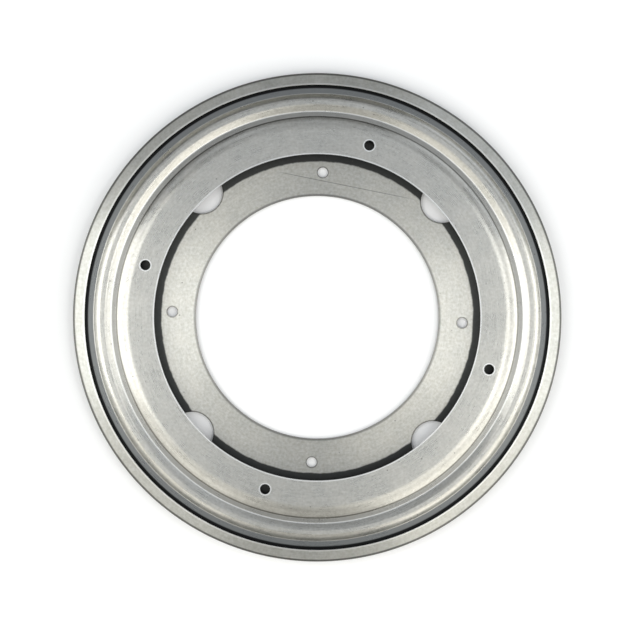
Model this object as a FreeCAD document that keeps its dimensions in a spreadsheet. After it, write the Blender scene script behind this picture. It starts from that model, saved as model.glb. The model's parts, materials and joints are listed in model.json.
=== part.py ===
"""Lazy susan turntable: a round stamped-steel swivel bearing, as a parametric document.

Two pressed steel plates turn on a ring of balls. The base plate is screwed to a cabinet floor or
a counter, and its outer edge is folded back over the lip of the turning plate, which holds the
pair together. Each plate has half of the ball race pressed into it, and a flat strip cage keeps
the balls evenly apart. The origin is the centre of the base plate's underside, +Z points up, and
sizes are in millimetres and degrees.
"""
import FreeCAD, Part
import math
import os

import Sketcher

UP = FreeCAD.Vector(0, 0, 1)
START, END, CENTRE = 1, 2, 3        # a sketch element's own points
ORIGIN_X_AXIS, ORIGIN_Y_AXIS = -1, -2

DIMENSIONS = {
    # overall
    "outer_diameter": 228.6,         # outside of the folded rim
    "sheet_thickness": 1.4,          # both plates
    # ball race
    "track_inset": 13.8,             # from the outside of the rim in to the middle of the race
    "ball_diameter": 4.7625,
    "ball_count": 48,
    "ball_clearance": 0.04,          # running gap under and over each ball
    "race_relief": 0.37,             # how much larger the race's radius is than the ball's
    "race_standoff": 0.15,           # how far the race stays back from the plate's mounting face
    "inner_flank_angle": 34,         # slope of the race's sides, from level
    "outer_flank_angle": 39,
    # steps beside the race
    "step_depth": 2.0,               # from the mounting face to the narrow step inside the race
    "step_width": 2.4,
    "shoulder_radius": 8.0,          # bend from the flat flange down to the step
    "lip_depth": 2.3,                # from the turning plate's top face down to its outer lip
    "ledge_depth": 1.3,              # from the base plate's underside up to its outer ledge
    "bend_radius": 0.6,              # inside of the other bends
    "edge_break": 0.2,               # rounding of sheared edges
    # folded rim
    "rim_width": 5.5,
    "lip_gap": 0.35,                 # running gap between the lip and the rim over it
    "lip_edge_gap": 0.9,             # from the lip's edge to the rim's wall
    "rim_crown": 1.9,                # outside radius of the fold
    # flanges, their screws and the holes that a screwdriver passes through
    "base_flange_width": 31.65,      # from the central opening out to the shoulder
    "tray_flange_width": 12.6,
    "screw_hole_diameter": 4.8,
    "screw_count": 4,
    "base_screw_inset": 11.1,        # from the plate's inner edge out to the hole's centre
    "tray_screw_inset": 7.6,
    "tray_screw_angle": -14.67,      # how far the turning plate is turned on the base at rest
    "access_hole_diameter": 20.0,
    "access_inset": 23.0,
    "access_angle": 45,
    # ball cage
    "cage_thickness": 0.6,
    "cage_web": 0.8,                 # strip left between a pocket and the cage's edge
    "pocket_clearance": 0.12,        # radial gap round a ball in its pocket
}

# Sizes that follow from the dimensions, as expressions.
SHEET = "dims.sheet_thickness"
OUTSIDE = "(dims.outer_diameter / 2)"
TRACK = f"({OUTSIDE} - dims.track_inset)"
BALL = "(dims.ball_diameter / 2)"
RACE = f"({BALL} + dims.race_relief)"
BALL_HEIGHT = f"(dims.race_standoff + {SHEET} + dims.ball_clearance + {BALL})"
HEIGHT = f"(2 * {BALL_HEIGHT})"
WALL_INSIDE = f"({OUTSIDE} - {SHEET})"
RIM_EDGE = f"({OUTSIDE} - dims.rim_width)"
LIP_EDGE = f"({WALL_INSIDE} - dims.lip_edge_gap)"
RIM_UNDERSIDE = f"({HEIGHT} - dims.lip_depth + dims.lip_gap)"
RIM_TOP = f"({RIM_UNDERSIDE} + {SHEET})"
OUTER_BEND = f"(dims.bend_radius + {SHEET})"


def flank_run(offset, depth, angle):
    """Level distance from the middle of the race out to the foot of one of its sides."""
    radius = f"({RACE} + {SHEET} - {offset})"
    arc_depth = f"{radius} * (1 - cos({angle}))"
    slope = f"({depth} - dims.race_standoff - {arc_depth}) / tan({angle})"
    return f"({radius} * sin({angle}) + {slope})"


INNER_FOOT = f"({TRACK} - {flank_run('0', 'dims.step_depth', 'dims.inner_flank_angle')})"
CREASE = f"({INNER_FOOT} - dims.step_width)"


def shoulder_run(offset):
    """Level width of the shoulder's bend, down to the narrow step."""
    radius = f"(dims.shoulder_radius - {offset})"
    return f"sqrt(2 * {radius} * dims.step_depth - dims.step_depth ^ 2)"


SHOULDER = f"({CREASE} - {shoulder_run('0')})"
BASE_OPENING = f"({SHOULDER} - dims.base_flange_width)"
TRAY_OPENING = f"({SHOULDER} - dims.tray_flange_width)"
BASE_SCREW_CIRCLE = f"({BASE_OPENING} + dims.base_screw_inset)"
TRAY_SCREW_CIRCLE = f"({TRAY_OPENING} + dims.tray_screw_inset)"
ACCESS_CIRCLE = f"({BASE_OPENING} + dims.access_inset)"
POCKET = f"({BALL} + dims.pocket_clearance)"


def race_skin(offset, outer_depth):
    """One face of a plate from its shoulder out over the race, as (radius, depth) corners.

    Depth is measured from the plate's mounting face. offset is 0 for the face on that side and
    the sheet's thickness for the face on the balls' side. The second list holds the radius of
    each stretch between two corners, or None where it is straight.
    """
    radius = f"({RACE} + {SHEET} - {offset})"
    inner, outer = "dims.inner_flank_angle", "dims.outer_flank_angle"
    inner_run = flank_run(offset, "dims.step_depth", inner)
    outer_run = flank_run(offset, outer_depth, outer)
    top = f"(dims.race_standoff + {offset})"
    corners = [
        (SHOULDER, offset),
        (f"{SHOULDER} + {shoulder_run(offset)}", f"dims.step_depth + {offset}"),
        (f"{TRACK} - {inner_run}", f"dims.step_depth + {offset}"),
        (f"{TRACK} - {radius} * sin({inner})", f"{top} + {radius} * (1 - cos({inner}))"),
        (f"{TRACK} + {radius} * sin({outer})", f"{top} + {radius} * (1 - cos({outer}))"),
        (f"{TRACK} + {outer_run}", f"{outer_depth} + {offset}"),
    ]
    return corners, [f"dims.shoulder_radius - {offset}", None, None, radius, None]


def plate_section(opening, outer_depth, outer_corners):
    """A whole plate's section: out along its mounting face and back along the balls' side."""
    face, face_radii = race_skin("0", outer_depth)
    back, back_radii = race_skin(SHEET, outer_depth)
    corners = [(opening, "0")] + face + outer_corners + back[::-1] + [(opening, SHEET)]
    straight_end = [None] * (len(outer_corners) + 1)
    radii = [None] + face_radii + straight_end + back_radii[::-1] + [None, None]
    return corners, radii


def make_sheet(doc):
    sheet = doc.addObject("Spreadsheet::Sheet", "dims")
    for row, (name, number) in enumerate(DIMENSIONS.items(), start=1):
        sheet.set(f"A{row}", name)
        sheet.set(f"B{row}", str(number))
        sheet.setAlias(f"B{row}", name)
    doc.recompute()
    return sheet


def value(doc, expression):
    return float(doc.dims.evalExpression(expression))


def make_body(doc, name):
    body = doc.addObject("PartDesign::Body", name)
    body.Label = name
    return body


def make_sketch(body, name, plane):
    sketch = body.newObject("Sketcher::SketchObject", name)
    support = [item for item in body.Origin.OriginFeatures if item.Role == plane]
    sketch.AttachmentSupport = (support[0], [""])
    sketch.MapMode = "FlatFace"
    return sketch


def bind(sketch, constraint, expression):
    """Add a constraint whose number follows an expression."""
    index = sketch.addConstraint(constraint)
    sketch.setExpression(f"Constraints[{index}]", expression)


def pin(doc, sketch, element, point, across, up):
    """Hold a point of a sketch element at two expressions' places."""
    for kind, axis, text in (("DistanceX", ORIGIN_Y_AXIS, across), ("DistanceY", ORIGIN_X_AXIS, up)):
        place = value(doc, text)
        if abs(place) < 1e-9:
            sketch.addConstraint(Sketcher.Constraint("PointOnObject", element, point, axis))
        else:
            bind(sketch, Sketcher.Constraint(kind, element, point, place), text)


def arc_between(start, end, radius, centre_side):
    """An arc from start to end, and whether it runs anticlockwise.

    centre_side is +1 where the arc's centre lies above its chord and -1 where it lies below.
    """
    chord = end - start
    across = FreeCAD.Vector(-chord.y, chord.x, 0).normalize()
    if across.y * centre_side < 0:
        across = across * -1
    centre = (start + end) * 0.5 + across * math.sqrt(radius ** 2 - (chord.Length / 2) ** 2)
    from_centre, to_centre = start - centre, end - centre
    anticlockwise = from_centre.cross(to_centre).z > 0
    first, last = (from_centre, to_centre) if anticlockwise else (to_centre, from_centre)
    first_angle = math.atan2(first.y, first.x)
    last_angle = math.atan2(last.y, last.x)
    if last_angle < first_angle:
        last_angle += 2 * math.pi
    arc = Part.ArcOfCircle(Part.Circle(centre, UP, radius), first_angle, last_angle)
    return arc, anticlockwise


def draw_section(doc, sketch, corners, radii, centre_side):
    """Draw a closed section whose every corner and arc is tied to the sheet."""
    places = [FreeCAD.Vector(value(doc, across), value(doc, up), 0) for across, up in corners]
    ends = []
    for index, radius in enumerate(radii):
        start, end = places[index], places[(index + 1) % len(places)]
        if radius is None:
            element = sketch.addGeometry(Part.LineSegment(start, end))
            ends.append((element, START, END))
            continue
        arc, anticlockwise = arc_between(start, end, value(doc, radius), centre_side)
        element = sketch.addGeometry(arc)
        bind(sketch, Sketcher.Constraint("Radius", element, value(doc, radius)), radius)
        ends.append((element, START, END) if anticlockwise else (element, END, START))
    for index, (element, start, _) in enumerate(ends):
        previous, _, previous_end = ends[index - 1]
        sketch.addConstraint(
            Sketcher.Constraint("Coincident", previous, previous_end, element, start))
        pin(doc, sketch, element, start, *corners[index])


def revolve(body, sketch, name):
    turned = body.newObject("PartDesign::Revolution", name)
    turned.Profile = sketch
    turned.ReferenceAxis = (sketch, ["V_Axis"])
    turned.Angle = 360
    body.Tip = turned
    return turned


def ring_edges(doc, feature, rings):
    """Names of a feature's edges that circle the Z axis at the given (radius, height) places."""
    wanted = [(value(doc, radius), value(doc, height)) for radius, height in rings]
    names = []
    for number, edge in enumerate(feature.Shape.Edges, start=1):
        curve = edge.Curve
        if not isinstance(curve, Part.Circle) or math.hypot(curve.Center.x, curve.Center.y) > 0.001:
            continue
        here = [pair for pair in wanted
                if math.hypot(curve.Radius - pair[0], curve.Center.z - pair[1]) < 0.001]
        if here:
            names.append(f"Edge{number}")
    if len(names) < len(rings):
        raise ValueError(f"{feature.Name}: {len(rings)} rings wanted, {len(names)} found")
    return names


def round_edges(doc, body, name, names, radius):
    """Round some edges of the body's last feature."""
    rounded = body.Tip
    fillet = body.newObject("PartDesign::Fillet", name)
    fillet.Base = (rounded, names)
    fillet.setExpression("Radius", radius)
    body.Tip = fillet
    doc.recompute()


def round_rings(doc, body, name, rings, radius):
    doc.recompute()
    round_edges(doc, body, name, ring_edges(doc, body.Tip, rings), radius)


def hole_edges(doc, feature, diameter):
    """Names of the edges of the round holes that have one diameter and lie off the axis."""
    names = []
    for number, edge in enumerate(feature.Shape.Edges, start=1):
        curve = edge.Curve
        if not isinstance(curve, Part.Circle) or math.hypot(curve.Center.x, curve.Center.y) < 1:
            continue
        if abs(curve.Radius - value(doc, diameter) / 2) < 0.001:
            names.append(f"Edge{number}")
    return names


def ring_of_holes(doc, body, name, circle, angle, diameter, count):
    """Cut one round hole through everything and repeat it round the Z axis."""
    sketch = make_sketch(body, f"{name}_sketch", "XY_Plane")
    across, up = f"{circle} * cos({angle})", f"{circle} * sin({angle})"
    middle = FreeCAD.Vector(value(doc, across), value(doc, up), 0)
    element = sketch.addGeometry(Part.Circle(middle, UP, value(doc, diameter) / 2))
    pin(doc, sketch, element, CENTRE, across, up)
    bind(sketch, Sketcher.Constraint("Diameter", element, value(doc, diameter)), diameter)
    pocket = body.newObject("PartDesign::Pocket", f"{name}_first")
    pocket.Profile = sketch
    pocket.Type = "ThroughAll"
    pocket.Midplane = True
    body.Tip = pocket
    pattern = body.newObject("PartDesign::PolarPattern", name)
    pattern.Originals = [pocket]
    pattern.Axis = (sketch, ["N_Axis"])
    pattern.Angle = 360
    pattern.setExpression("Occurrences", count)
    body.Tip = pattern
    doc.recompute()


def make_base_plate(doc):
    """The lower plate: flange, race, ledge, wall and the rim folded back over the lip."""
    body = make_body(doc, "base_plate")
    wall_corners = [
        (OUTSIDE, "dims.ledge_depth"),
        (OUTSIDE, RIM_TOP),
        (RIM_EDGE, RIM_TOP),
        (RIM_EDGE, RIM_UNDERSIDE),
        (WALL_INSIDE, RIM_UNDERSIDE),
        (WALL_INSIDE, f"dims.ledge_depth + {SHEET}"),
    ]
    corners, radii = plate_section(BASE_OPENING, "dims.ledge_depth", wall_corners)
    sketch = make_sketch(body, "base_plate_section", "XZ_Plane")
    draw_section(doc, sketch, corners, radii, centre_side=1)
    revolve(body, sketch, "base_plate_turned")
    face, back = race_skin("0", "dims.ledge_depth")[0], race_skin(SHEET, "dims.ledge_depth")[0]
    tight = [face[1], face[2], face[5], wall_corners[5]]
    wide = [back[1], back[2], back[5], wall_corners[0]]
    round_rings(doc, body, "base_plate_tight_bends", tight, "dims.bend_radius")
    round_rings(doc, body, "base_plate_wide_bends", wide, OUTER_BEND)
    round_rings(doc, body, "rim_crown", [wall_corners[1]], "dims.rim_crown")
    round_rings(doc, body, "rim_fold_inside", [wall_corners[4]], f"dims.rim_crown - {SHEET}")
    ring_of_holes(doc, body, "base_screw_holes", BASE_SCREW_CIRCLE, "0",
                  "dims.screw_hole_diameter", "dims.screw_count")
    ring_of_holes(doc, body, "access_holes", ACCESS_CIRCLE, "dims.access_angle",
                  "dims.access_hole_diameter", "dims.screw_count")
    sheared = [(BASE_OPENING, "0"), (BASE_OPENING, SHEET), wall_corners[2], wall_corners[3]]
    names = ring_edges(doc, body.Tip, sheared)
    names += hole_edges(doc, body.Tip, "dims.screw_hole_diameter")
    names += hole_edges(doc, body.Tip, "dims.access_hole_diameter")
    round_edges(doc, body, "base_plate_sheared_edges", names, "dims.edge_break")
    return body


def make_tray_plate(doc):
    """The upper, turning plate, which a tray or a shelf is screwed to."""
    body = make_body(doc, "turning_plate")
    lip_corners = [(LIP_EDGE, "dims.lip_depth"), (LIP_EDGE, f"dims.lip_depth + {SHEET}")]
    corners, radii = plate_section(TRAY_OPENING, "dims.lip_depth", lip_corners)
    upside_down = [(across, f"{HEIGHT} - ({depth})") for across, depth in corners]
    sketch = make_sketch(body, "turning_plate_section", "XZ_Plane")
    draw_section(doc, sketch, upside_down, radii, centre_side=-1)
    revolve(body, sketch, "turning_plate_turned")
    face, back = race_skin("0", "dims.lip_depth")[0], race_skin(SHEET, "dims.lip_depth")[0]
    for name, skin, radius in (("turning_plate_tight_bends", face, "dims.bend_radius"),
                               ("turning_plate_wide_bends", back, OUTER_BEND)):
        rings = [(skin[index][0], f"{HEIGHT} - ({skin[index][1]})") for index in (1, 2, 5)]
        round_rings(doc, body, name, rings, radius)
    ring_of_holes(doc, body, "tray_screw_holes", TRAY_SCREW_CIRCLE, "dims.tray_screw_angle",
                  "dims.screw_hole_diameter", "dims.screw_count")
    sheared = [(TRAY_OPENING, HEIGHT), (TRAY_OPENING, f"{HEIGHT} - {SHEET}")]
    sheared += [(across, f"{HEIGHT} - ({depth})") for across, depth in lip_corners]
    names = ring_edges(doc, body.Tip, sheared)
    names += hole_edges(doc, body.Tip, "dims.screw_hole_diameter")
    round_edges(doc, body, "turning_plate_sheared_edges", names, "dims.edge_break")
    return body


def make_cage(doc):
    """A flat steel ring at the balls' middle height, with a round pocket for each ball."""
    body = make_body(doc, "ball_cage")
    half_width = f"({POCKET} + dims.cage_web)"
    sketch = make_sketch(body, "ball_cage_ring", "XY_Plane")
    sketch.setExpression("AttachmentOffset.Base.z", f"{BALL_HEIGHT} - dims.cage_thickness / 2")
    for radius in (f"{TRACK} - {half_width}", f"{TRACK} + {half_width}"):
        element = sketch.addGeometry(Part.Circle(FreeCAD.Vector(), UP, value(doc, radius)))
        sketch.addConstraint(
            Sketcher.Constraint("Coincident", element, CENTRE, ORIGIN_X_AXIS, START))
        bind(sketch, Sketcher.Constraint("Radius", element, value(doc, radius)), radius)
    pad = body.newObject("PartDesign::Pad", "ball_cage_strip")
    pad.Profile = sketch
    pad.setExpression("Length", "dims.cage_thickness")
    body.Tip = pad
    doc.recompute()
    ring_of_holes(doc, body, "ball_pockets", TRACK, "0", f"2 * {POCKET}", "dims.ball_count")
    return body


def make_balls(doc):
    """The balls, one in each pocket of the cage."""
    balls = []
    count = round(value(doc, "dims.ball_count"))
    for index in range(count):
        ball = doc.addObject("Part::Sphere", f"ball_{index + 1:02d}")
        ball.Label = ball.Name
        angle = f"{index} * 360 / dims.ball_count"
        ball.setExpression("Radius", BALL)
        ball.setExpression("Placement.Base.x", f"{TRACK} * cos({angle})")
        ball.setExpression("Placement.Base.y", f"{TRACK} * sin({angle})")
        ball.setExpression("Placement.Base.z", BALL_HEIGHT)
        balls.append(ball)
    return balls


def check(doc, subparts):
    """Stop if any object failed or any sub-part has no sound solid."""
    for item in doc.Objects:
        if "Invalid" in item.State or "Error" in item.State:
            raise ValueError(f"{item.Name} failed: {item.State}")
    for item in subparts:
        if item.Shape.isNull() or not item.Shape.isValid() or len(item.Shape.Solids) != 1:
            raise ValueError(f"{item.Label} has no sound solid")


def main():
    doc = FreeCAD.newDocument("lazy_susan_turntable")
    make_sheet(doc)
    subparts = [make_base_plate(doc), make_tray_plate(doc), make_cage(doc)] + make_balls(doc)
    doc.recompute()
    check(doc, subparts)
    os.makedirs("parts", exist_ok=True)
    for item in subparts:
        item.Shape.exportStep(f"parts/{item.Label}.step")
    print(f"{len(subparts)} sub-parts, height {value(doc, HEIGHT):.3f} mm")


main()
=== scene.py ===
import json
import math

import bpy
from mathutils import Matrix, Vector


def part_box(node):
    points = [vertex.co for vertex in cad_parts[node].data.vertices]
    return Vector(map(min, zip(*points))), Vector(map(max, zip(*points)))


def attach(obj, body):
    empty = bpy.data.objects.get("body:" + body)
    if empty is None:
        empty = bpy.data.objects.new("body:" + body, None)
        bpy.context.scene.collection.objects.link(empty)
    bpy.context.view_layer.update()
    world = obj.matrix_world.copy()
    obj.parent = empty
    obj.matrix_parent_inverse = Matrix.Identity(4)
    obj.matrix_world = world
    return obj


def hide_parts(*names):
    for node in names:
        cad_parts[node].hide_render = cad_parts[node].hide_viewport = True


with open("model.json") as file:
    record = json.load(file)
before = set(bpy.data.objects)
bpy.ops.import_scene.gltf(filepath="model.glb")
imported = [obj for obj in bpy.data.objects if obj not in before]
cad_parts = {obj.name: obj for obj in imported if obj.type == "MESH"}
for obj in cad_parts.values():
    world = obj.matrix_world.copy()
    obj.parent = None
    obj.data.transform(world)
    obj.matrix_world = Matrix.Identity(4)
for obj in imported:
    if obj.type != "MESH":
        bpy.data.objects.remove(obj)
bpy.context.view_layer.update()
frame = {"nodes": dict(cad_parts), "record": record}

MM = 0.001

# ---- sizes, in metres ----
mounts = {mount["name"]: mount["dims"] for mount in frame["record"]["mounts"] if mount.get("dims")}
base_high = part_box("base_plate")[1]
tray_low, tray_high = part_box("turning_plate")
ball_low, ball_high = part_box("ball_01")

sheet = 1.4 * MM
edge_break = 0.2 * MM
tight_bend = 0.6 * MM
wide_bend = tight_bend + sheet

base_opening = mounts["centre_bore"]["r_mm"] * MM
base_screw_circle = mounts["base_screws"]["pcd_mm"] / 2 * MM
tray_screw_circle = mounts["tray_screws"]["pcd_mm"] / 2 * MM
screw_radius = mounts["base_screws"]["hole_r_mm"] * MM
tray_opening = 76.2 * MM
tray_turn = math.radians(-14.67)     # the tray's screw holes against the base plate's
access_circle = 80.15 * MM
access_turn = math.radians(45)
access_radius = 10 * MM

shoulder_bend = 11.4 * MM            # the flange rolls down over this and the tight bend to the step
step_depth = 2.0 * MM                # from a mounting face to the narrow step inside the race
step_width = 2.4 * MM
inner_flank = math.radians(34)       # the slopes of the bead over the balls
outer_flank = math.radians(39)
race_standoff = 0.15 * MM            # the bead's top stays this far below the mounting face
race_relief = 0.37 * MM              # the race's radius less the ball's
track = (ball_low.x + ball_high.x) / 2
ball_radius = (ball_high.x - ball_low.x) / 2
crest_bend = ball_radius + race_relief + sheet

outside = base_high.x
rim_top = base_high.z
rim_width = 5.5 * MM
rim_edge = outside - rim_width
rim_crown = 1.9 * MM
ledge_depth = 1.3 * MM               # the base plate's ledge between its bead and its wall
lip_edge = tray_high.x
tray_top = tray_high.z
lip_depth = tray_top - tray_low.z - sheet

base_holes = [(base_screw_circle, 0, screw_radius), (access_circle, access_turn, access_radius)]
tray_holes = [(tray_screw_circle, tray_turn, screw_radius)]

# ---- fineness of the modelling ----
SPIN_STEPS = 256
HOLE_SEGMENTS = 48
ARC_STEP = math.radians(7)
MERGE_DISTANCE = 0.001 * MM
CUTTER_DEPTH = 40 * MM               # through the plate, wherever it lies
BEVEL_FROM = math.radians(60)        # sharper corners than this are broken
SHARP_FROM = math.radians(40)        # and sharper ones than this stay sharp to the eye
RING_MARGIN = 1 * MM                 # extra rings of faces lie this far off screw holes and openings


# ---- modelling ----

def deselect_all():
    bpy.ops.object.select_all(action="DESELECT")


def make_active(piece):
    deselect_all()
    piece.select_set(True)
    bpy.context.view_layer.objects.active = piece


def around(circle, turn):
    """Four places on a circle, a quarter turn apart."""
    angles = [turn + quarter * math.pi / 2 for quarter in range(4)]
    return [Vector((circle * math.cos(angle), circle * math.sin(angle))) for angle in angles]


def flank_run(depth, angle):
    """Level distance from the middle of the race to the foot of one of its sides."""
    slope = (depth - race_standoff - crest_bend * (1 - math.cos(angle))) / math.tan(angle)
    return crest_bend * math.sin(angle) + slope


inner_foot = track - flank_run(step_depth, inner_flank)
crease = inner_foot - step_width


def rounded(corners):
    """A chain of (radius, depth, bend) corners with each bend drawn as an arc."""
    points = []
    for index, (across, depth, bend) in enumerate(corners):
        here = Vector((across, depth))
        if not bend:
            points.append(here)
            continue
        back = (Vector(corners[index - 1][:2]) - here).normalized()
        ahead = (Vector(corners[index + 1][:2]) - here).normalized()
        half = back.angle(ahead) / 2
        centre = here + (back + ahead).normalized() * (bend / math.sin(half))
        first = here + back * (bend / math.tan(half)) - centre
        turn = first.angle_signed(here + ahead * (bend / math.tan(half)) - centre)
        steps = max(3, math.ceil(abs(turn) / ARC_STEP))
        for step in range(steps + 1):
            angle = -turn * step / steps
            points.append(centre + Vector((first.x * math.cos(angle) - first.y * math.sin(angle),
                                           first.x * math.sin(angle) + first.y * math.cos(angle))))
    return points


def plate_face(opening, outer_depth, outer_corners, flange_loops):
    """The mounting side of a plate, from its opening out, as depths below that side."""
    slope = math.acos(1 - step_depth / (shoulder_bend + tight_bend))
    shoulder = crease - step_depth / math.tan(slope)
    outer_foot = track + flank_run(outer_depth, outer_flank)
    span, drop = outer_foot - inner_foot, outer_depth - step_depth
    rise = (span * math.tan(outer_flank) - drop) / (math.tan(inner_flank) + math.tan(outer_flank))
    crest = (inner_foot + rise, step_depth - rise * math.tan(inner_flank), crest_bend)
    corners = [(opening, 0, 0)]
    corners += [(across, 0, 0) for across in flange_loops]
    corners += [(shoulder, 0, shoulder_bend), (crease, step_depth, tight_bend),
                (inner_foot, step_depth, tight_bend), crest, (outer_foot, outer_depth, tight_bend)]
    return rounded(corners + outer_corners)


def spin_plate(name, section):
    """Draw a section point by point and spin it round the axis."""
    bpy.ops.mesh.primitive_plane_add(size=sheet, location=(0, 0, 0))
    plate = bpy.context.object
    plate.name = name
    bpy.ops.object.mode_set(mode="EDIT")
    bpy.ops.mesh.merge(type="CENTER")
    first = Vector((section[0].x, 0, section[0].y))
    bpy.ops.transform.translate(value=first)
    for before, after in zip(section, section[1:]):
        step = (after.x - before.x, 0, after.y - before.y)
        bpy.ops.mesh.extrude_region_move(TRANSFORM_OT_translate={"value": step})
    bpy.ops.mesh.select_all(action="SELECT")
    bpy.ops.mesh.spin(steps=SPIN_STEPS, angle=2 * math.pi, center=(0, 0, 0), axis=(0, 0, 1))
    bpy.ops.mesh.select_all(action="SELECT")
    bpy.ops.mesh.remove_doubles(threshold=MERGE_DISTANCE)
    bpy.ops.mesh.normals_make_consistent(inside=False)
    bpy.ops.object.mode_set(mode="OBJECT")
    return plate


def face_towards(plate, up):
    """Turn the shell's faces so that its flange looks up or down."""
    flange = min(plate.data.polygons, key=lambda face: face.center.xy.length)
    if flange.normal.z * up < 0:
        make_active(plate)
        bpy.ops.object.mode_set(mode="EDIT")
        bpy.ops.mesh.select_all(action="SELECT")
        bpy.ops.mesh.flip_normals()
        bpy.ops.object.mode_set(mode="OBJECT")


def apply_modifier(piece, kind, **settings):
    make_active(piece)
    modifier = piece.modifiers.new(kind.lower(), kind)
    for name, value in settings.items():
        setattr(modifier, name, value)
    bpy.ops.object.modifier_apply(modifier=modifier.name)


def hole_cutters(holes):
    """Round cutters, one object, four for each (circle radius, turn, hole radius)."""
    cutters = []
    for circle, turn, radius in holes:
        for middle in around(circle, turn):
            bpy.ops.mesh.primitive_cylinder_add(vertices=HOLE_SEGMENTS, radius=radius,
                                                depth=CUTTER_DEPTH, location=(*middle, 0))
            cutters.append(bpy.context.object)
    deselect_all()
    for cutter in cutters:
        cutter.select_set(True)
    bpy.context.view_layer.objects.active = cutters[0]
    bpy.ops.object.join()
    return bpy.context.object


def pierce(plate, holes):
    cutter = hole_cutters(holes)
    apply_modifier(plate, "BOOLEAN", object=cutter, operation="DIFFERENCE", solver="EXACT")
    bpy.data.objects.remove(cutter)


def finish_plate(plate, holes):
    """Give the shell the sheet's thickness, its holes and its broken edges."""
    apply_modifier(plate, "SOLIDIFY", thickness=sheet, offset=-1, use_even_offset=True)
    pierce(plate, holes)
    apply_modifier(plate, "BEVEL", width=edge_break, segments=3, limit_method="ANGLE",
                   angle_limit=BEVEL_FROM)
    make_active(plate)
    bpy.ops.object.shade_smooth_by_angle(angle=SHARP_FROM)
    apply_modifier(plate, "WEIGHTED_NORMAL", keep_sharp=True, weight=100)


def model_base_plate():
    """The lower plate: flange up to its bead, a ledge, and a wall folded in over the lip."""
    outer = [(outside, ledge_depth, wide_bend), (outside, rim_top, rim_crown), (rim_edge, rim_top, 0)]
    beside_screws = RING_MARGIN + screw_radius
    loops = [base_screw_circle - beside_screws, base_screw_circle + beside_screws,
             tray_opening + RING_MARGIN]
    section = plate_face(base_opening, ledge_depth, outer, loops)
    plate = spin_plate("base_plate_shell", section)
    face_towards(plate, up=-1)
    finish_plate(plate, base_holes)
    return plate


def model_turning_plate():
    """The upper plate, upside down to the lower one: flange, bead and a level lip."""
    section = plate_face(tray_opening, lip_depth, [(lip_edge, lip_depth, 0)], [])
    upside_down = [Vector((point.x, tray_top - point.y)) for point in section]
    plate = spin_plate("turning_plate_shell", upside_down)
    face_towards(plate, up=1)
    finish_plate(plate, tray_holes)
    return plate


# ---- sizes of the finishes' patterns and marks ----
GRAIN_LENGTH = 7 * MM                # a polishing mark round the ring
GRAIN_WIDTH = 0.35 * MM              # really a tenth of this, which would not show
BLOTCH = 11 * MM                     # one patch of thicker or thinner zinc
CRYSTAL = 1.3 * MM                   # zinc crystals, drawn coarser than the real ones
GRAIN_DEPTH = 0.03 * MM
CRYSTAL_DEPTH = 0.04 * MM
SPECK_SPACING = 9 * MM
SPECK_SIZE = 0.30 * MM
SPECK_FADE = 0.02                    # of the spacing
SCRATCH_WIDTH = 0.30 * MM
SCRATCH_FADE = 6 * MM
SCRATCH_START = Vector((-23.6, 68.1)) * MM
SCRATCH_END = Vector((45.8, 56.8)) * MM
BURNISH_AND_HIGHLIGHT_WIDTH = 0.55 * MM            # burnished metal beside a punched edge, painted brighter also as a highlight
BURNISH_AND_HIGHLIGHT_FADE = 0.12 * MM
PAINTED_SHADOW_REACH = 2.9 * MM              # how far the painted shadow of the turning plate's edge reaches in from its opening
PAINTED_SHADOW_END = 90 * MM                 # and where it ends, out of sight
PAINTED_SHADOW_WANDER = 1.0 * MM             # how far its edge wanders in and out
PAINTED_SHADOW_WANDER_SIZE = 4 * MM
HOLE_FADE = 0.15 * MM                # how softly a mark round a hole ends
OPENING_SHADE = 0.95 * MM             # the width of the painted shade round each opening or hole
ACCESS_SHADE = 0.5 * MM
SCREW_SHADE = 0.4 * MM
WALL_START = outside - 1.15 * MM     # where the painted shade over the wall and the outer crown begins
LIP_SHADE_START = rim_edge - 4.0 * MM      # where painted shade begins over the turning plate's recessed lip
# where a black painted shadow beside the rim's inner edge begins
LIP_SHADOW_START = rim_edge - 1.6 * MM
PUNCH_MARK = 0.4 * MM                # a tear left by the punch, drawn coarser than it is
FILM_PATCH = 5 * MM                  # a thicker or thinner patch of grease
SMEAR = 1.5 * MM                     # of oil on a ball

# where a face that is modelled level slants down outwards, from and to, and by how much in all
FLANGE_SAG = (base_opening, tray_opening, 0.05 * MM)
RIM_SAG = (rim_edge, outside - 1.0 * MM, 2.1 * MM)
STEP_SAG = (crease + 0.1 * MM, inner_foot - 0.1 * MM, 0.08 * MM)
CREST_FLAT = 0.8 * MM                # the bead's top is rubbed level this far each side

NOISE_RANGE = (0.3, 0.7)             # where most of a noise's values lie
STREAK_TONES = (0.93, 1.05)          # how far polishing marks darken and brighten the sheet
STREAK_ROUGHNESS = 0.10
BLOTCH_ROUGHNESS = (-0.07, -0.03)
# burnished steel, painted near white also as a highlight along cut edges
BURNISHED_AND_HIGHLIT_STEEL = "#f4f4f0"


# ---- materials ----

def linear(code):
    """A linear colour from an sRGB hex code."""
    parts = [int(code[index:index + 2], 16) / 255 for index in (1, 3, 5)]
    return tuple(part / 12.92 if part <= 0.04045 else ((part + 0.055) / 1.055) ** 2.4
                 for part in parts) + (1,)


def add_node(tree, kind, settings=None, values=None, links=None, stops=()):
    """Add one shader node, set it up, link what goes into it and place a colour ramp's stops."""
    node = tree.nodes.new("ShaderNode" + kind)
    for name, value in (settings or {}).items():
        setattr(node, name, value)
    for name, value in (values or {}).items():
        node.inputs[name].default_value = value
    for name, source in (links or {}).items():
        tree.links.new(source, node.inputs[name])
    for index, (position, code) in enumerate(stops):
        node.color_ramp.elements[index].position = position
        node.color_ramp.elements[index].color = linear(code)
    return node


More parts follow.
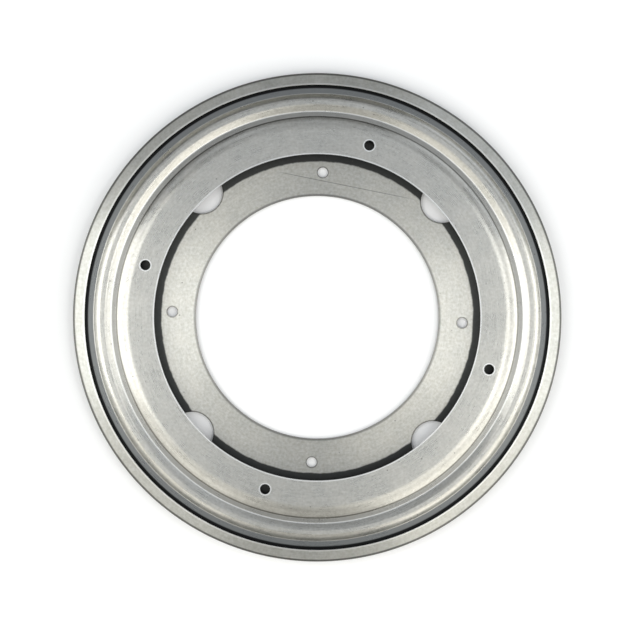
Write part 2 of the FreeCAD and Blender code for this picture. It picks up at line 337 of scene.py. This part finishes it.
def new_material(name, **sockets):
    """A material whose Principled shader has the given uniform values."""
    material = bpy.data.materials.new(name)
    material.use_nodes = True
    shader = material.node_tree.nodes["Principled BSDF"]
    for socket, value in sockets.items():
        shader.inputs[socket.replace("_", " ")].default_value = value
    return material, material.node_tree, shader


def ring_places(tree):
    """A point's place, its distance from the axis, and a vector that runs along the rings."""
    place = add_node(tree, "TexCoord").outputs["Object"]
    flat = add_node(tree, "VectorMath", {"operation": "MULTIPLY"}, {1: (1, 1, 0)}, {0: place})
    from_axis = add_node(tree, "VectorMath", {"operation": "LENGTH"}, links={0: flat.outputs[0]})
    heading = add_node(tree, "VectorMath", {"operation": "NORMALIZE"}, links={0: flat.outputs[0]})
    height = add_node(tree, "SeparateXYZ", links={0: place})
    across = add_node(tree, "Math", {"operation": "ADD"},
                      links={0: from_axis.outputs["Value"], 1: height.outputs["Z"]})
    stretched = add_node(tree, "Math", {"operation": "MULTIPLY"}, {1: GRAIN_LENGTH / GRAIN_WIDTH},
                         {0: across.outputs[0]})
    lift = add_node(tree, "CombineXYZ", links={"Z": stretched.outputs[0]})
    along = add_node(tree, "VectorMath", {"operation": "MULTIPLY_ADD"},
                     {1: (track, track, track)}, {0: heading.outputs[0], 2: lift.outputs[0]})
    return place, from_axis.outputs["Value"], along.outputs[0]


def past(tree, value, edge, softness):
    """One where a value is past an edge, nought before it; the other way with a negative softness."""
    return add_node(tree, "MapRange", {"interpolation_type": "SMOOTHSTEP"},
                    {"From Min": edge - softness, "From Max": edge + softness},
                    {"Value": value}).outputs["Result"]


def band(tree, value, start, end, softness):
    """One between two edges of a value, nought outside them."""
    inner = past(tree, value, start, softness)
    outer = past(tree, value, end, -softness)
    return add_node(tree, "Math", {"operation": "MULTIPLY"}, links={0: inner, 1: outer}).outputs[0]


def spread(tree, noise, low, high):
    """Most of a noise's values spread between two others."""
    return add_node(tree, "MapRange", None,
                    {"From Min": NOISE_RANGE[0], "From Max": NOISE_RANGE[1], "To Min": low, "To Max": high},
                    {"Value": noise}).outputs["Result"]


def near_holes(tree, place, circle, turn, reach):
    """One within reach of the middle of any of four holes on a circle."""
    turned = add_node(tree, "VectorRotate", {"rotation_type": "Z_AXIS"}, {"Angle": -turn},
                      {"Vector": place})
    folded = add_node(tree, "VectorMath", {"operation": "ABSOLUTE"}, links={0: turned.outputs[0]})
    sides = add_node(tree, "SeparateXYZ", links={0: folded.outputs[0]})
    longer = add_node(tree, "Math", {"operation": "MAXIMUM"},
                      links={0: sides.outputs["X"], 1: sides.outputs["Y"]})
    shorter = add_node(tree, "Math", {"operation": "MINIMUM"},
                       links={0: sides.outputs["X"], 1: sides.outputs["Y"]})
    corner = add_node(tree, "CombineXYZ", links={"X": longer.outputs[0], "Y": shorter.outputs[0]})
    away = add_node(tree, "VectorMath", {"operation": "DISTANCE"}, {1: (circle, 0, 0)},
                    {0: corner.outputs[0]})
    return past(tree, away.outputs["Value"], reach, -HOLE_FADE)


def scratch_mask(tree, place, start, end):
    """A fine straight scratch from one point to another, fading at both ends."""
    middle = (start + end) / 2
    heading = math.atan2(end.y - start.y, end.x - start.x)
    moved = add_node(tree, "VectorMath", {"operation": "SUBTRACT"}, {1: middle.to_3d()}, {0: place})
    turned = add_node(tree, "VectorRotate", {"rotation_type": "Z_AXIS"}, {"Angle": -heading},
                      {"Vector": moved.outputs[0]})
    folded = add_node(tree, "VectorMath", {"operation": "ABSOLUTE"}, links={0: turned.outputs[0]})
    sides = add_node(tree, "SeparateXYZ", links={0: folded.outputs[0]})
    across = past(tree, sides.outputs["Y"], SCRATCH_WIDTH / 2, -SCRATCH_WIDTH / 3)
    along = past(tree, sides.outputs["X"], (end - start).length / 2 - SCRATCH_FADE, -SCRATCH_FADE)
    return add_node(tree, "Math", {"operation": "MULTIPLY"}, links={0: across, 1: along}).outputs[0]


def lay_over(tree, colour, mask, code, strength):
    """Mix a colour toward another where a mask is one."""
    faded = add_node(tree, "Math", {"operation": "MULTIPLY"}, {1: strength}, {0: mask})
    return add_node(tree, "Mix", {"data_type": "RGBA"}, {"B": linear(code)},
                    {"Factor": faded.outputs[0], "A": colour}).outputs[2]


def sheet_colour(tree, place, blotches, crystals, grain, tones, speckle):
    """Cloudy zinc, speckled by its crystals and streaked round the ring, and a mask of its specks."""
    cloud = add_node(tree, "ValToRGB", links={"Fac": blotches}, stops=zip(NOISE_RANGE, tones))
    tints = add_node(tree, "MixRGB", {"blend_type": "OVERLAY"}, {"Fac": speckle},
                     {"Color1": cloud.outputs["Color"], "Color2": crystals})
    brushed = spread(tree, grain, *STREAK_TONES)
    streaked = add_node(tree, "VectorMath", {"operation": "SCALE"},
                        links={0: tints.outputs[0], "Scale": brushed})
    specks = add_node(tree, "TexVoronoi", None, {"Scale": 1 / SPECK_SPACING}, {"Vector": place})
    dots = past(tree, specks.outputs["Distance"], SPECK_SIZE / SPECK_SPACING, -SPECK_FADE)
    return streaked.outputs[0], dots


def slanted_height(tree, from_axis, sag):
    """How far the worn surface lies off the modelled one: a slanting band and a level crest."""
    start, end, drop = sag
    fall = add_node(tree, "MapRange", None, {"From Min": start, "From Max": end, "To Max": -drop},
                    {"Value": from_axis})
    off_crest = add_node(tree, "Math", {"operation": "SUBTRACT"}, {1: track}, {0: from_axis})
    beside = add_node(tree, "Math", {"operation": "ABSOLUTE"}, links={0: off_crest.outputs[0]})
    near = add_node(tree, "Math", {"operation": "MINIMUM"}, {1: CREST_FLAT}, {0: beside.outputs[0]})
    square = add_node(tree, "Math", {"operation": "POWER"}, {1: 2}, {0: near.outputs[0]})
    levelled = add_node(tree, "Math", {"operation": "MULTIPLY_ADD"}, {1: 0.5 / crest_bend},
                        {0: square.outputs[0], 2: fall.outputs["Result"]})
    return levelled.outputs[0]


def zinc_sheet(name, anisotropy, roughness, marks_of, sag, tones, speckle):
    """Cold-rolled steel sheet with a thin zinc coat, pressed and lightly polished while turning.

    To the eye it is a pale satin grey, cloudy in patches, with light that streams across the
    rings, some dark specks of dirt, and the marks of its own side of the plate, among them painted shade
    and painted highlights."""
    material, tree, shader = new_material(name, Metallic=1.0, Anisotropic=anisotropy,
                                          Anisotropic_Rotation=0.25)
    place, from_axis, along = ring_places(tree)
    blotches = add_node(tree, "TexNoise", None, {"Scale": 1 / BLOTCH, "Detail": 3, "Roughness": 0.6},
                        {"Vector": place}).outputs["Fac"]
    crystals = add_node(tree, "TexNoise", None, {"Scale": 1 / CRYSTAL, "Detail": 2},
                        {"Vector": place}).outputs["Fac"]
    grain = add_node(tree, "TexNoise", None, {"Scale": 1 / GRAIN_LENGTH, "Detail": 2},
                     {"Vector": along}).outputs["Fac"]
    colour, specks = sheet_colour(tree, place, blotches, crystals, grain, tones, speckle)
    for mask, code, strength in marks_of(tree, place, from_axis) + [(specks, "#5a5852", 0.8)]:
        colour = lay_over(tree, colour, mask, code, strength)
    tree.links.new(colour, shader.inputs["Base Color"])
    worn = spread(tree, blotches, *(roughness + change for change in BLOTCH_ROUGHNESS))
    streaked = add_node(tree, "Math", {"operation": "MULTIPLY_ADD"}, {1: STREAK_ROUGHNESS},
                        {0: grain, 2: worn})
    tree.links.new(streaked.outputs[0], shader.inputs["Roughness"])
    sagged = add_node(tree, "Bump", None, {"Strength": 1.0, "Distance": 1.0},
                      {"Height": slanted_height(tree, from_axis, sag)})
    marks = add_node(tree, "Bump", None, {"Strength": 0.25, "Distance": GRAIN_DEPTH},
                     {"Height": grain, "Normal": sagged.outputs["Normal"]})
    dents = add_node(tree, "Bump", None, {"Strength": 0.5, "Distance": CRYSTAL_DEPTH},
                     {"Height": crystals, "Normal": marks.outputs["Normal"]})
    tree.links.new(dents.outputs["Normal"], shader.inputs["Normal"])
    rings = add_node(tree, "Tangent", {"direction_type": "RADIAL", "axis": "Z"})
    tree.links.new(rings.outputs["Tangent"], shader.inputs["Tangent"])
    return material


# each mark is a mask, a colour and how strongly the colour covers the sheet there

def shaded_wall(tree, from_axis):
    """Painted shade: the wall round the outside and the rim's outer crown, darkened."""
    return past(tree, from_axis, WALL_START, softness=0.3 * MM), "#3f3f3c", 0.82


def base_marks(tree, place, from_axis):
    """A scratch on top of the flange, a painted shadow of the turning plate's edge over the flange, and
    painted shade round the opening, the holes and the wall.
    """
    height = add_node(tree, "SeparateXYZ", links={0: place}).outputs["Z"]
    upper_side = past(tree, height, sheet / 2, softness=0.1 * MM)
    # painted shadow: a ragged dark band cast by the turning plate's inner edge onto the flange
    wander = add_node(tree, "TexNoise", None, {"Scale": 1 / PAINTED_SHADOW_WANDER_SIZE, "Detail": 3},
                      {"Vector": place}).outputs["Fac"]
    ragged = add_node(tree, "Math", {"operation": "MULTIPLY_ADD"}, {1: PAINTED_SHADOW_WANDER},
                      {0: wander, 2: from_axis}).outputs[0]
    start = tray_opening - PAINTED_SHADOW_REACH + PAINTED_SHADOW_WANDER / 2
    shadow_band = band(tree, ragged, start, PAINTED_SHADOW_END, softness=0.4 * MM)
    painted_shadow = add_node(tree, "Math", {"operation": "MULTIPLY"}, links={0: upper_side, 1: shadow_band})
    line = scratch_mask(tree, place, SCRATCH_START, SCRATCH_END)
    scratch = add_node(tree, "Math", {"operation": "MULTIPLY"}, links={0: upper_side, 1: line})
    # painted shade round the opening and the holes, where their walls and the floor under them lie in shade
    opening = past(tree, from_axis, base_opening + OPENING_SHADE, softness=-0.4 * MM)
    access = near_holes(tree, place, access_circle, access_turn, access_radius + ACCESS_SHADE)
    screws = near_holes(tree, place, base_screw_circle, 0, screw_radius + SCREW_SHADE)
    return [(scratch.outputs[0], "#5f5d5a", 0.65), (painted_shadow.outputs[0], "#303232", 0.93),
            (opening, "#6f6e6a", 0.68), (access, "#4a4945", 0.75), (screws, "#55544f", 0.7),
            shaded_wall(tree, from_axis)]


def rim_marks(tree, place, from_axis):
    """The rim's inner edge, rubbed bright and painted brighter as a highlight, and painted shade over the
    top of the wall.
    """
    rubbed_and_highlit = past(tree, from_axis, rim_edge + BURNISH_AND_HIGHLIGHT_WIDTH, -BURNISH_AND_HIGHLIGHT_FADE)
    return [(rubbed_and_highlit, BURNISHED_AND_HIGHLIT_STEEL, 0.8), shaded_wall(tree, from_axis)]


def tray_marks(tree, place, from_axis):
    """Punched edges rubbed bright and painted as highlights, painted shade over the recessed lip, a black
    painted shadow beside the rim, painted shade on the step and in its crease, and a painted highlight at
    the bead's foot.
    """
    # punched edges rubbed bright and painted brighter as a highlight
    punched = past(tree, from_axis, tray_opening + BURNISH_AND_HIGHLIGHT_WIDTH, -BURNISH_AND_HIGHLIGHT_FADE)
    holes = near_holes(tree, place, tray_screw_circle, tray_turn, screw_radius + BURNISH_AND_HIGHLIGHT_WIDTH)
    # painted shade over the lip in its recess, and a black painted shadow beside the rim
    lip_shade = past(tree, from_axis, LIP_SHADE_START, softness=0.3 * MM)
    painted_shadow = past(tree, from_axis, LIP_SHADOW_START, softness=0.35 * MM)
    # painted shade on the recessed step and in its crease
    step = band(tree, from_axis, crease + 0.3 * MM, inner_foot - 0.4 * MM, softness=0.2 * MM)
    fold = band(tree, from_axis, crease - 0.6 * MM, crease + 0.2 * MM, softness=0.2 * MM)
    # a painted highlight along the foot of the bead
    foot = band(tree, from_axis, inner_foot - 0.35 * MM, inner_foot + 0.25 * MM, softness=0.15 * MM)
    return [(punched, BURNISHED_AND_HIGHLIT_STEEL, 0.8), (holes, BURNISHED_AND_HIGHLIT_STEEL, 0.8), (lip_shade, "#777978", 0.95),
            (painted_shadow, "#141414", 0.97), (step, "#8f8e89", 0.75), (fold, "#5b5a55", 0.8),
            (foot, "#f8f8f4", 0.6)]


def sheared_edge(name, dark, pale):
    """The cut through the sheet: bare steel with fine marks left by the punch, bright when clean."""
    material, tree, shader = new_material(name, Metallic=1.0)
    place = add_node(tree, "TexCoord").outputs["Object"]
    squeezed = add_node(tree, "VectorMath", {"operation": "MULTIPLY"}, {1: (1, 1, 0.1)}, {0: place})
    marks = add_node(tree, "TexNoise", None, {"Scale": 1 / PUNCH_MARK, "Detail": 2},
                     {"Vector": squeezed.outputs[0]}).outputs["Fac"]
    colour = add_node(tree, "ValToRGB", links={"Fac": marks}, stops=zip(NOISE_RANGE, (dark, pale)))
    tree.links.new(colour.outputs["Color"], shader.inputs["Base Color"])
    rough = add_node(tree, "MapRange", None, {"To Min": 0.2, "To Max": 0.45}, {"Value": marks})
    tree.links.new(rough.outputs[0], shader.inputs["Roughness"])
    bump = add_node(tree, "Bump", None, {"Strength": 0.4, "Distance": 0.03 * MM}, {"Height": marks})
    tree.links.new(bump.outputs["Normal"], shader.inputs["Normal"])
    return material


def oiled_steel(name, pale, dark, roughness):
    """Steel under a film of old grease: dark, brownish and wet-looking in patches."""
    material, tree, shader = new_material(name, Metallic=1.0, Coat_Weight=0.3, Coat_Roughness=0.2)
    place = add_node(tree, "TexCoord").outputs["Object"]
    film = add_node(tree, "TexNoise", None, {"Scale": 1 / FILM_PATCH, "Detail": 4, "Roughness": 0.6},
                    {"Vector": place}).outputs["Fac"]
    colour = add_node(tree, "ValToRGB", links={"Fac": film}, stops=((0.35, dark), (0.65, pale)))
    tree.links.new(colour.outputs["Color"], shader.inputs["Base Color"])
    rough = add_node(tree, "MapRange", None, {"To Min": roughness - 0.1, "To Max": roughness + 0.15},
                     {"Value": film})
    tree.links.new(rough.outputs[0], shader.inputs["Roughness"])
    bump = add_node(tree, "Bump", None, {"Strength": 0.3, "Distance": 0.05 * MM}, {"Height": film})
    tree.links.new(bump.outputs["Normal"], shader.inputs["Normal"])
    return material


def bearing_ball():
    """Hardened chrome steel, ground and lapped: a mirror with faint smears of oil."""
    material, tree, shader = new_material("lapped chrome steel ball", Metallic=1.0,
                                          Base_Color=linear("#c9cacb"))
    place = add_node(tree, "TexCoord").outputs["Object"]
    smears = add_node(tree, "TexNoise", None, {"Scale": 1 / SMEAR, "Detail": 3},
                      {"Vector": place}).outputs["Fac"]
    rough = add_node(tree, "MapRange", None, {"To Min": 0.04, "To Max": 0.2}, {"Value": smears})
    tree.links.new(rough.outputs[0], shader.inputs["Roughness"])
    return material


zinc_base = zinc_sheet("zinc plated base sheet", anisotropy=0.84, roughness=0.42,
                       marks_of=base_marks, sag=FLANGE_SAG, tones=("#c8c7bf", "#d1cfc6"), speckle=0.4)
zinc_rim = zinc_sheet("zinc plated rolled rim", anisotropy=0.92, roughness=0.45,
                      marks_of=rim_marks, sag=RIM_SAG, tones=("#c9c9c2", "#d3d2ca"), speckle=0.35)
zinc_tray = zinc_sheet("zinc plated turning sheet", anisotropy=0.4, roughness=0.29,
                       marks_of=tray_marks, sag=STEP_SAG, tones=("#bdbcb5", "#c6c4bc"), speckle=0.24)
bare_edge = sheared_edge("sheared steel edge", dark="#b9b9b6", pale="#e4e4e0")
# the base plate's cut edges, painted dark as shade in the opening and the holes
shaded_edge = sheared_edge("sheared steel edge painted dark as shade", dark="#4b4a46", pale="#807e78")
# old grease in the race, painted darker still as shade where the plates cover it
oiled_and_shaded_sheet = oiled_steel("oiled sheet inside the race, darkened as painted shade", pale="#3f3e3a", dark="#2a2a28", roughness=0.4)
oiled_strip = oiled_steel("oiled strip steel", pale="#84827c", dark="#625f58", roughness=0.3)
ball_steel = bearing_ball()


# ---- which faces have which finish ----

EDGE_FINISH, OILED_AND_SHADED_FINISH, RIM_FINISH = 1, 2, 3      # nought is the sheet's own
# how far past its own edge each finish may take faces
EDGE_LEEWAY = 0.05 * MM
RIM_LEEWAY = 0.1 * MM
WALL_LEEWAY = 0.2 * MM
FOLD_LEEWAY = 0.3 * MM
FLANK_LEEWAY = 0.6 * MM


def lay_finishes(plate, materials, is_oiled_and_shaded, cut_circle, holes):
    """Give the plate its sheet, edge, oiled-and-shaded and rim faces, told apart by their place."""
    for material in materials:
        plate.data.materials.append(material)
    middles = [(middle, radius) for circle, turn, radius in holes for middle in around(circle, turn)]
    near = edge_break + EDGE_LEEWAY
    for face in plate.data.polygons:
        corners = [plate.data.vertices[index].co.xy for index in face.vertices]
        across = face.center.xy.length
        at_hole = any(all((corner - middle).length < radius + near for corner in corners)
                      for middle, radius in middles)
        if at_hole or all(abs(corner.length - cut_circle) < near for corner in corners):
            face.material_index = EDGE_FINISH
        elif is_oiled_and_shaded(across, face.center.z, face.normal):
            face.material_index = OILED_AND_SHADED_FINISH
        elif across > rim_edge - RIM_LEEWAY and face.center.z > rim_top - sheet:
            face.material_index = RIM_FINISH


def oiled_and_shaded_in_base(across, height, normal):
    """The race and the channel inside the wall, which the turning plate covers: oiled, and painted dark as
    shade.
    """
    covered = tray_opening + RING_MARGIN < across < outside - sheet + WALL_LEEWAY
    below_rim = height < rim_top - sheet + FOLD_LEEWAY
    above_underside = normal.z > 0.1 or height > step_depth + FLANK_LEEWAY
    return covered and below_rim and above_underside


def oiled_and_shaded_in_tray(across, height, normal):
    """The underside, over the balls: oiled, and painted dark as shade."""
    return normal.z < -0.1 and across > tray_opening + RING_MARGIN


base_plate = model_base_plate()
turning_plate = model_turning_plate()
lay_finishes(base_plate, [zinc_base, shaded_edge, oiled_and_shaded_sheet, zinc_rim], oiled_and_shaded_in_base,
             base_opening, base_holes)
lay_finishes(turning_plate, [zinc_tray, bare_edge, oiled_and_shaded_sheet], oiled_and_shaded_in_tray,
             tray_opening, tray_holes)
for piece, node, body in ((base_plate, "base_plate", "base"),
                          (turning_plate, "turning_plate", "turntable")):
    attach(piece, body)
    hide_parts(node)

for name, node in frame["nodes"].items():
    if name.startswith("ball_"):
        node.data.materials.clear()
        node.data.materials.append(oiled_strip if name == "ball_cage" else ball_steel)


# ---- stage ----

FLOOR_SIZE = 4
FLOOR_GAP = 0.1 * MM                 # keeps the floor's face apart from the plate's
WARM_WHITE = "#fffdf8"
PLAIN_WHITE = "#feffff"
COOL_WHITE = "#eff5ff"
LIGHT_DISTANCE = 0.95
OVERHEAD_DISTANCE = 1.3
OVERHEAD_SIZE = (0.7, 0.7)
OVERHEAD_RADIANCE = 0.65
ROOM_GREY = "#6c6d6e"
HIGH, MIDDLE, LOW = 28, 50, 72       # how far a panel leans from straight overhead, in degrees
# each panel's width and height by its lean
SIZES = {HIGH: (0.28, 0.5), MIDDLE: (0.3, 0.65), LOW: (0.5, 0.72)}
# each bank's bearing from the right, in degrees, and its panels' radiances
BANKS = (
    ("left bank", 180, PLAIN_WHITE, {HIGH: 2.7, MIDDLE: 2.3, LOW: 2.2}),
    ("lower left bank", 225, WARM_WHITE, {HIGH: 1.0, MIDDLE: 1.3, LOW: 0.8}),
    ("lower bank", 270, WARM_WHITE, {HIGH: 0.2, MIDDLE: 0.5, LOW: 0.4}),
    ("lower right bank", 315, WARM_WHITE, {HIGH: 1.8, MIDDLE: 1.5, LOW: 1.7}),
    ("right bank", 0, PLAIN_WHITE, {HIGH: 2.4, MIDDLE: 1.1, LOW: 2.6}),
    ("upper right bank", 45, COOL_WHITE, {HIGH: 0.5, MIDDLE: 0.35, LOW: 0.9}),
    ("upper bank", 90, COOL_WHITE, {HIGH: 0.45, MIDDLE: 0.5}),
    ("upper left bank", 135, COOL_WHITE, {HIGH: 0.1, MIDDLE: 0.6}),
)
CAMERA_HEIGHT = 0.75
CAMERA_ROLL = math.radians(2.2)
OBJECT_SHARE = 0.76516               # of the view's width that the rim's outside takes
FRAME_SHIFT = (0.00438, -0.00422)    # of the view's width
SENSOR_WIDTH = 36                    # in millimetres, as the lens is


def lay_floor():
    """A matt white board, lit very slightly from behind, so that it stays white in the shade."""
    bpy.ops.mesh.primitive_plane_add(size=FLOOR_SIZE, location=(0, 0, -FLOOR_GAP))
    floor = bpy.context.object
    floor.name = "floor"
    board = new_material("matt white board", Roughness=0.8, Base_Color=linear("#f6f6f5"),
                         Emission_Color=(1, 1, 1, 1), Emission_Strength=0.04)[0]
    floor.data.materials.append(board)


def softbox(name, bearing, lean, away, size, radiance, code):
    """A soft light on a bearing from the right, leaning from overhead, aimed at the middle."""
    light = bpy.data.lights.new(name, "AREA")
    light.shape = "RECTANGLE"
    light.size, light.size_y = size
    light.energy = radiance * math.pi * size[0] * size[1]
    light.color = linear(code)[:3]
    turn, tilt = math.radians(bearing), math.radians(lean)
    place = Vector((math.sin(tilt) * math.cos(turn), math.sin(tilt) * math.sin(turn), math.cos(tilt)))
    lamp = bpy.data.objects.new(name, light)
    lamp.location = place * away
    lamp.rotation_euler = (0, tilt, turn)
    bpy.context.scene.collection.objects.link(lamp)


def light_stage():
    """Banks of soft panels on eight bearings, a panel overhead and a dim grey room."""
    world = bpy.data.worlds.new("studio")
    bpy.context.scene.world = world
    world.use_nodes = True
    world.node_tree.nodes["Background"].inputs["Color"].default_value = linear(ROOM_GREY)
    for bank, bearing, tint, panels in BANKS:
        for lean, radiance in panels.items():
            softbox(f"{bank} {lean}", bearing, lean, LIGHT_DISTANCE, SIZES[lean], radiance, tint)
    softbox("overhead panel", 0, 0, OVERHEAD_DISTANCE, OVERHEAD_SIZE, OVERHEAD_RADIANCE, COOL_WHITE)


def set_camera():
    """Straight overhead, with the rim's outside taking its share of the view."""
    camera = bpy.data.cameras.new("camera")
    eye = bpy.data.objects.new("camera", camera)
    bpy.context.scene.collection.objects.link(eye)
    eye.location = (0, 0, CAMERA_HEIGHT)
    eye.rotation_euler = (0, 0, CAMERA_ROLL)
    camera.sensor_width = SENSOR_WIDTH
    camera.lens = SENSOR_WIDTH * (CAMERA_HEIGHT - rim_top) * OBJECT_SHARE / (2 * outside)
    camera.shift_x, camera.shift_y = FRAME_SHIFT
    bpy.context.scene.camera = eye
    bpy.context.scene.view_settings.view_transform = "Standard"


lay_floor()
light_stage()
set_camera()
